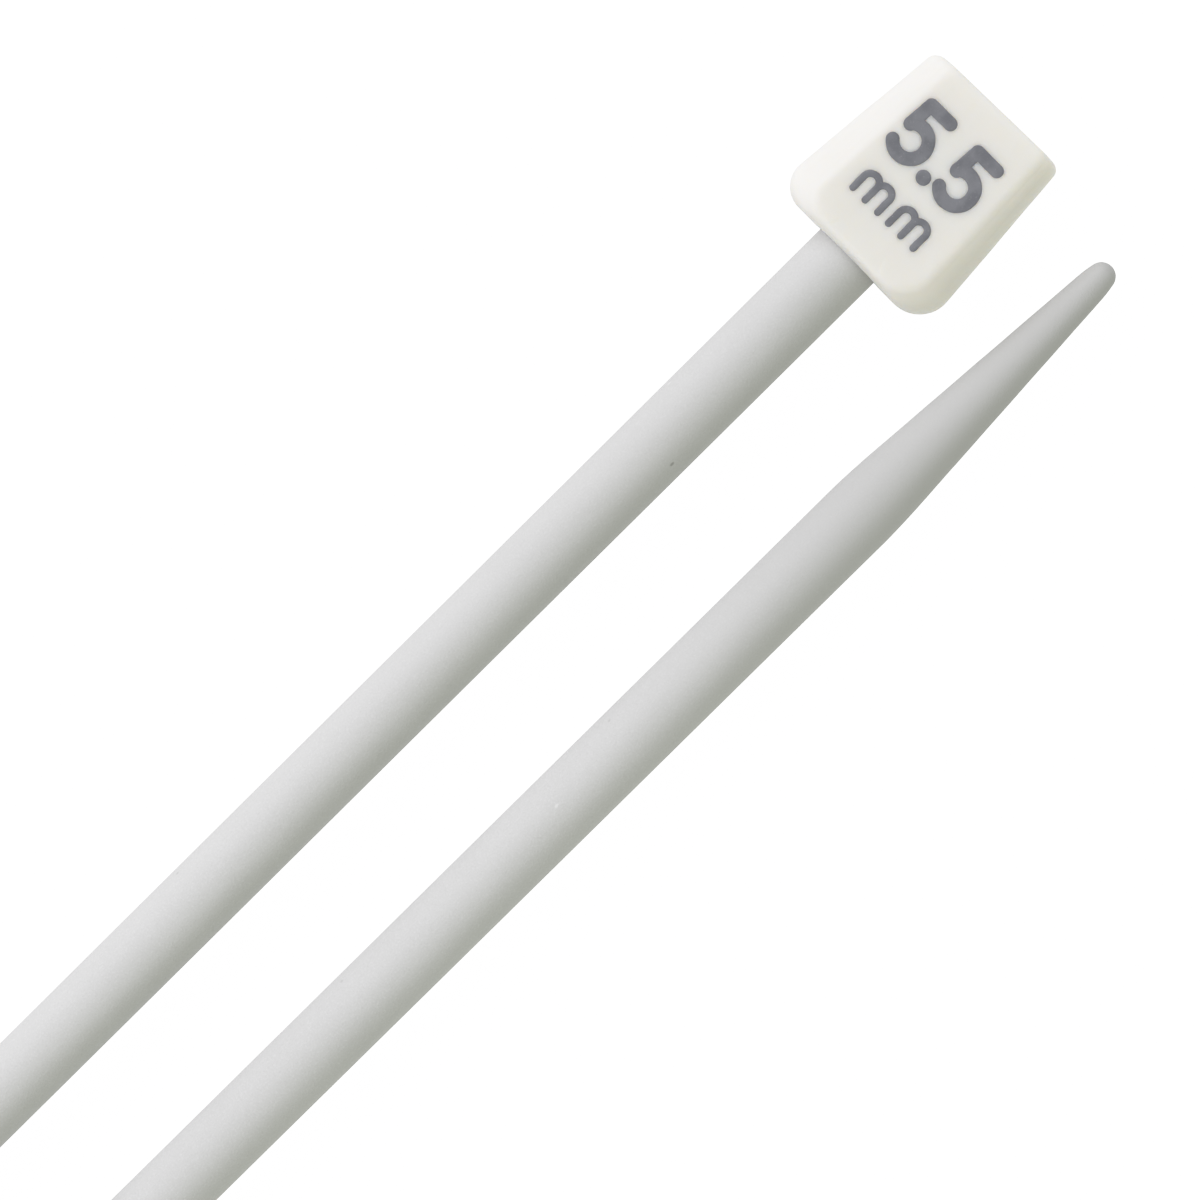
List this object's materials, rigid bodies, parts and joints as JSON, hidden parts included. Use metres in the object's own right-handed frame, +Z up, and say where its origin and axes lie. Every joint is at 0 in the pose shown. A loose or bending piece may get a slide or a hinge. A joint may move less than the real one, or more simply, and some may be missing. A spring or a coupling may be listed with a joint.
{
  "type": "straight knitting needles",
  "caption": "Straight single-pointed knitting needles: coated aluminium tubes with a swaged tapered point and a wedge-shaped moulded head carrying a printed size mark.",
  "frame": {"origin": "midway between the needles and midway along the pair, on the surface they lie on", "axes": "+X along the needles towards needle_a's head, +Y from needle_b towards needle_a, +Z up"},
  "size_m": [0.3522, 0.0284, 0.0081],
  "materials": {
    "shaft_coat": "matt pearl-grey coat on drawn aluminium tube",
    "head_plastic": "ivory moulded plastic, satin",
    "mark_ink": "dark slate pad-printed ink, matt"
  },
  "bodies": {
    "needle_a": {"needle_a_shaft": "shaft_coat", "needle_a_head": "head_plastic", "needle_a_size_mark": "mark_ink"},
    "needle_b": {"needle_b_shaft": "shaft_coat", "needle_b_head": "head_plastic", "needle_b_size_mark": "mark_ink"}
  },
  "joints": [
    {"name": "needle_b_slide", "type": "slide", "parent": "needle_a", "child": "needle_b", "axis": [0, -1, 0], "range_m": [-0.004, 0.08]}
  ]
}
